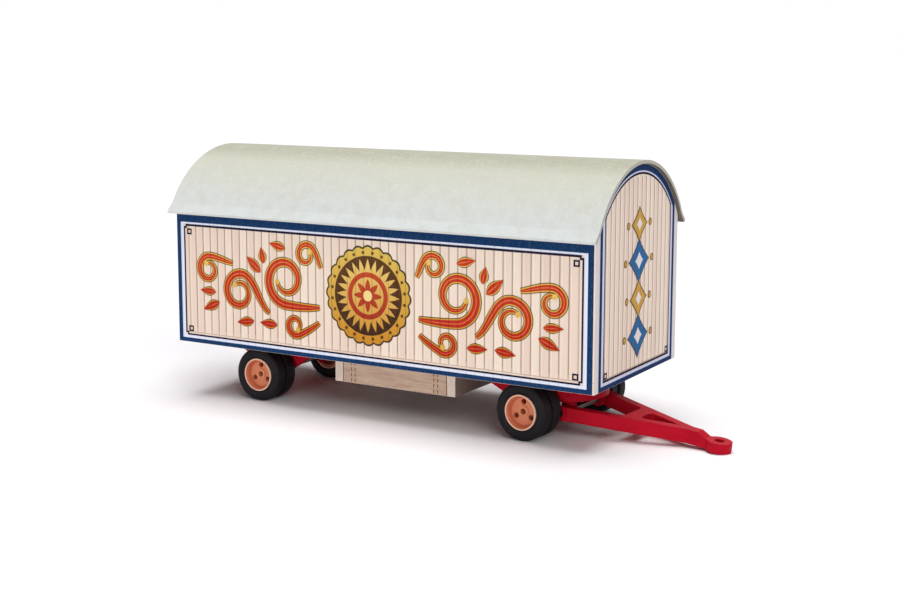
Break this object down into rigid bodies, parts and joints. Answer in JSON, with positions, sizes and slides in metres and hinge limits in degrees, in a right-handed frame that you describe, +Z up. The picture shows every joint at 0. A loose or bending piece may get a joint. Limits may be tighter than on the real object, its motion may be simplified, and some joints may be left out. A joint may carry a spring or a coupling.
{
  "type": "scale model of a circus trailer",
  "caption": "Small scale model of a boarded circus trailer with a barrel roof, twin tyres, a steered front bogie on a turntable and a tilting A-shaped drawbar with a towing eye.",
  "frame": {"origin": "on the ground, under the middle of the overall length and width", "axes": "+X ahead along the drawbar end, +Y to the trailer's left, +Z up"},
  "size_m": [0.0888, 0.0318, 0.0396],
  "materials": {
    "boarded_wood": "thin plywood with engraved board joints and printed border lines",
    "floor_wood": "bare thin plywood",
    "roof_card": "matt pale grey card with a fine grain",
    "box_wood": "bare thin wood with engraved panel lines",
    "red_plastic": "moulded red plastic, half gloss",
    "pin_steel": "plain drawn wire",
    "rim_plastic": "moulded copper-orange plastic",
    "tyre_black": "matt black moulded tyre"
  },
  "bodies": {
    "body": {"floor_plate": "floor_wood", "side_wall_right": "boarded_wood", "side_wall_left": "boarded_wood", "end_wall_front": "boarded_wood", "end_wall_rear": "boarded_wood", "roof_sheet": "roof_card", "box_end_front": "box_wood", "box_end_rear": "box_wood", "box_side_right": "box_wood", "box_side_left": "box_wood", "box_bottom": "box_wood", "rear_axle_carrier": "red_plastic", "turntable_plate": "red_plastic", "kingpin": "pin_steel"},
    "front_bogie": {"bogie_frame": "red_plastic", "drawbar_pin": "pin_steel"},
    "drawbar": {"drawbar": "red_plastic"},
    "front_wheels": {"front_axle": "pin_steel", "front_rim_right": "rim_plastic", "front_rim_left": "rim_plastic", "front_tyre_right_outer": "tyre_black", "front_tyre_right_inner": "tyre_black", "front_tyre_left_outer": "tyre_black", "front_tyre_left_inner": "tyre_black"},
    "rear_wheels": {"rear_axle": "pin_steel", "rear_rim_right": "rim_plastic", "rear_rim_left": "rim_plastic", "rear_tyre_right_outer": "tyre_black", "rear_tyre_right_inner": "tyre_black", "rear_tyre_left_outer": "tyre_black", "rear_tyre_left_inner": "tyre_black"}
  },
  "joints": [
    {"name": "steering", "type": "hinge", "parent": "body", "child": "front_bogie", "pos_m": [0.01755, 0, 0.00825], "axis": [0, 0, 1], "range_deg": [-30, 40]},
    {"name": "drawbar_tilt", "type": "hinge", "parent": "front_bogie", "child": "drawbar", "pos_m": [0.02113, -0.00031, 0.00355], "axis": [-0.0872, -0.9962, 0], "range_deg": [0, 20]},
    {"name": "front_wheels_roll", "type": "hinge", "parent": "front_bogie", "child": "front_wheels", "pos_m": [0.01755, 0, 0.00415], "axis": [0.0872, 0.9962, 0], "continuous": true},
    {"name": "rear_wheels_roll", "type": "hinge", "parent": "body", "child": "rear_wheels", "pos_m": [-0.0302, 0, 0.00415], "axis": [0, 1, 0], "continuous": true}
  ]
}
